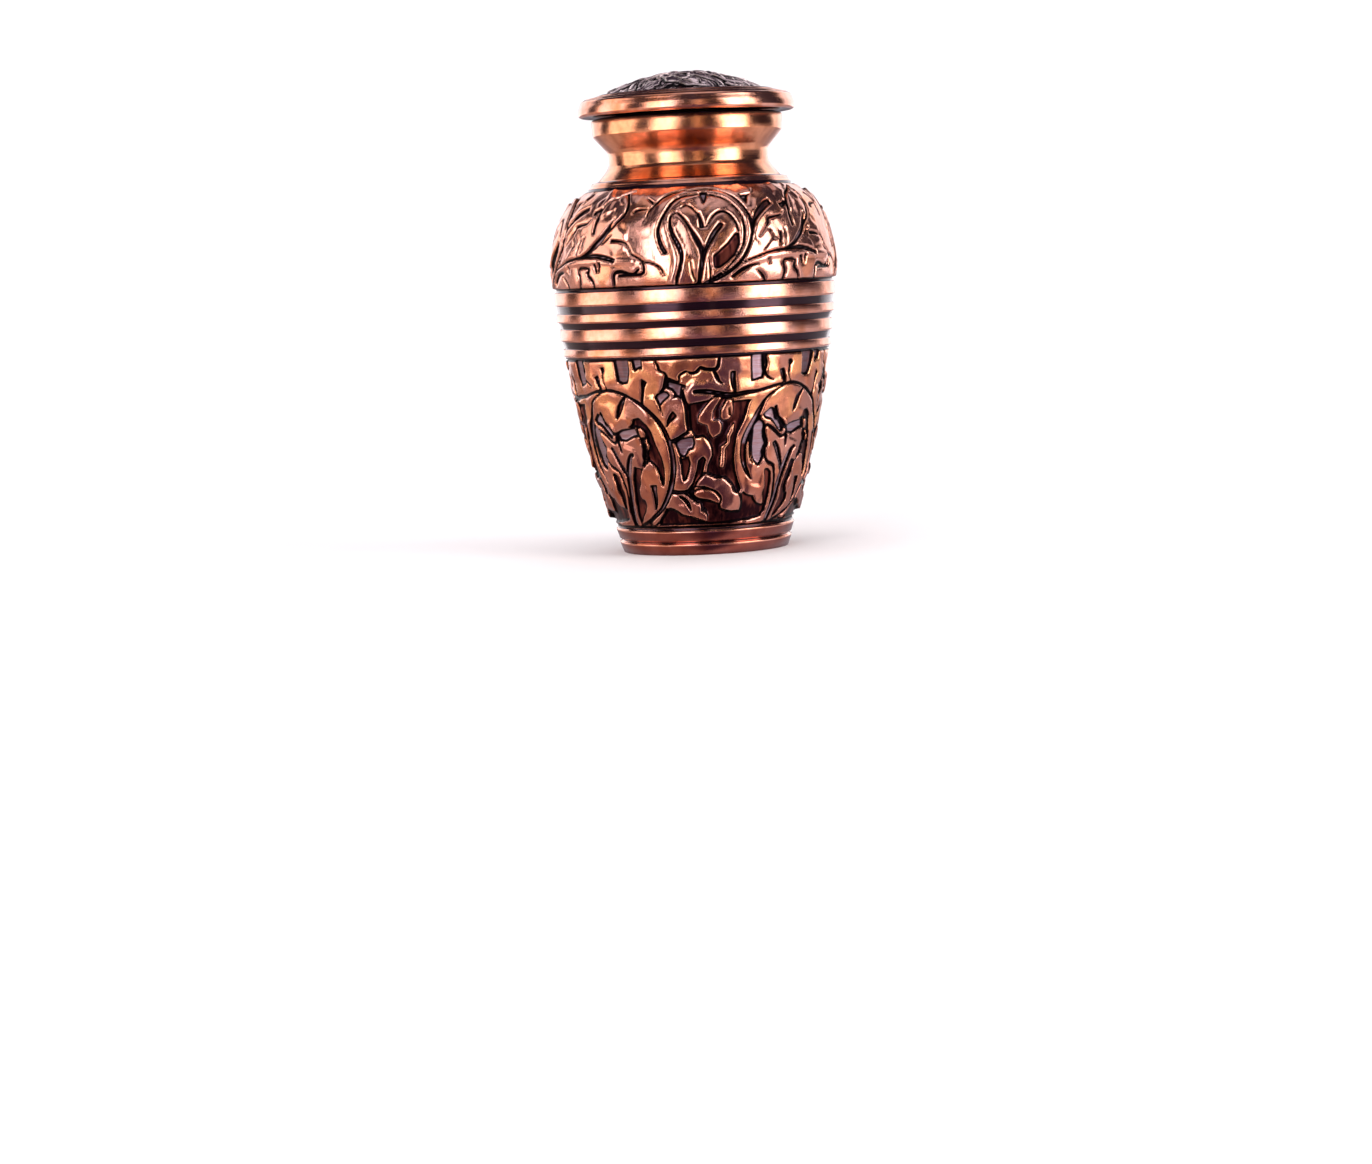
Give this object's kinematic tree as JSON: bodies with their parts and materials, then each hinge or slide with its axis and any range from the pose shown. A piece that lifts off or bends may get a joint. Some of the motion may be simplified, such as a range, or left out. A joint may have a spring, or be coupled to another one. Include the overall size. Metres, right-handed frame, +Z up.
{
  "type": "keepsake cremation urn",
  "caption": "Small baluster-shaped metal urn with leaf-carved body and shoulder, ringed waist, narrow neck and a lift-off domed lid.",
  "frame": {"origin": "centre of the underside, on the surface the urn stands on", "axes": "+Z up along the urn's axis; -Y faces the viewer of the picture, +X to the viewer's right"},
  "size_m": [0.0482, 0.0482, 0.08],
  "materials": {
    "body_copper": "polished copper colour with dark brown-purple recesses",
    "lid_copper": "polished copper colour with dark recesses on the dome"
  },
  "bodies": {
    "root": {"urn_body": "body_copper", "lid": "lid_copper"}
  },
  "joints": []
}
